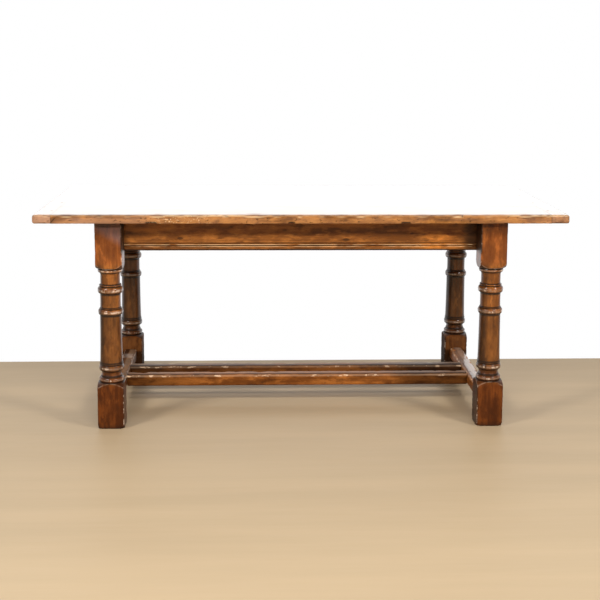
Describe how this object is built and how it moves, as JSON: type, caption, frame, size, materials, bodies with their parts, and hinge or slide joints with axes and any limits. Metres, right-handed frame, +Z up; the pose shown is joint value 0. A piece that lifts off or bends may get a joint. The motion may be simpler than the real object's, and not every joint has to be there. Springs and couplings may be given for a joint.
{
  "type": "refectory table",
  "caption": "Oak refectory table: a boarded top with end cleats, moulded friezes and ring-turned legs joined by low stretchers.",
  "frame": {"origin": "on the floor, under the middle of the top", "axes": "+X along the length of the table to the right, +Y away from the front frieze to the back, +Z up"},
  "size_m": [1.85, 0.9, 0.77],
  "materials": {
    "top_oak": "waxed oak with a worn golden edge",
    "leg_oak": "polished reddish oak, glossy on the turnings",
    "rail_oak": "waxed oak",
    "stretcher_oak": "waxed oak, worn on the upper edges",
    "peg_oak": "dark end grain",
    "screw_steel": "plain steel"
  },
  "bodies": {
    "root": {"top_board_front": "top_oak", "top_board_mid_front": "top_oak", "top_board_mid_back": "top_oak", "top_board_back": "top_oak", "top_cleat_left": "top_oak", "top_cleat_right": "top_oak", "leg_front_left": "leg_oak", "leg_back_left": "leg_oak", "leg_front_right": "leg_oak", "leg_back_right": "leg_oak", "frieze_front": "rail_oak", "frieze_back": "rail_oak", "end_rail_left": "rail_oak", "end_rail_right": "rail_oak", "end_stretcher_left": "stretcher_oak", "end_stretcher_right": "stretcher_oak", "long_stretcher_front": "stretcher_oak", "long_stretcher_back": "stretcher_oak", "cleat_peg_front_left": "peg_oak", "cleat_peg_front_right": "peg_oak", "cleat_peg_mid_front_left": "peg_oak", "cleat_peg_mid_front_right": "peg_oak", "cleat_peg_mid_back_left": "peg_oak", "cleat_peg_mid_back_right": "peg_oak", "cleat_peg_back_left": "peg_oak", "cleat_peg_back_right": "peg_oak", "rail_peg_front_left_lower": "peg_oak", "rail_peg_front_left_upper": "peg_oak", "rail_peg_back_left_lower": "peg_oak", "rail_peg_back_left_upper": "peg_oak", "rail_peg_front_right_lower": "peg_oak", "rail_peg_front_right_upper": "peg_oak", "rail_peg_back_right_lower": "peg_oak", "rail_peg_back_right_upper": "peg_oak", "foot_peg_front_left": "peg_oak", "foot_peg_back_left": "peg_oak", "foot_peg_front_right": "peg_oak", "foot_peg_back_right": "peg_oak", "frieze_peg_front_left": "peg_oak", "frieze_peg_back_left": "peg_oak", "frieze_peg_front_right": "peg_oak", "frieze_peg_back_right": "peg_oak", "stretcher_peg_front_left": "peg_oak", "stretcher_peg_back_left": "peg_oak", "stretcher_peg_front_right": "peg_oak", "stretcher_peg_back_right": "peg_oak", "top_button_front_left": "rail_oak", "top_button_front_centre": "rail_oak", "top_button_front_right": "rail_oak", "top_button_back_left": "rail_oak", "top_button_back_centre": "rail_oak", "top_button_back_right": "rail_oak", "button_screw_front_left": "screw_steel", "button_screw_front_centre": "screw_steel", "button_screw_front_right": "screw_steel", "button_screw_back_left": "screw_steel", "button_screw_back_centre": "screw_steel", "button_screw_back_right": "screw_steel"}
  },
  "joints": []
}
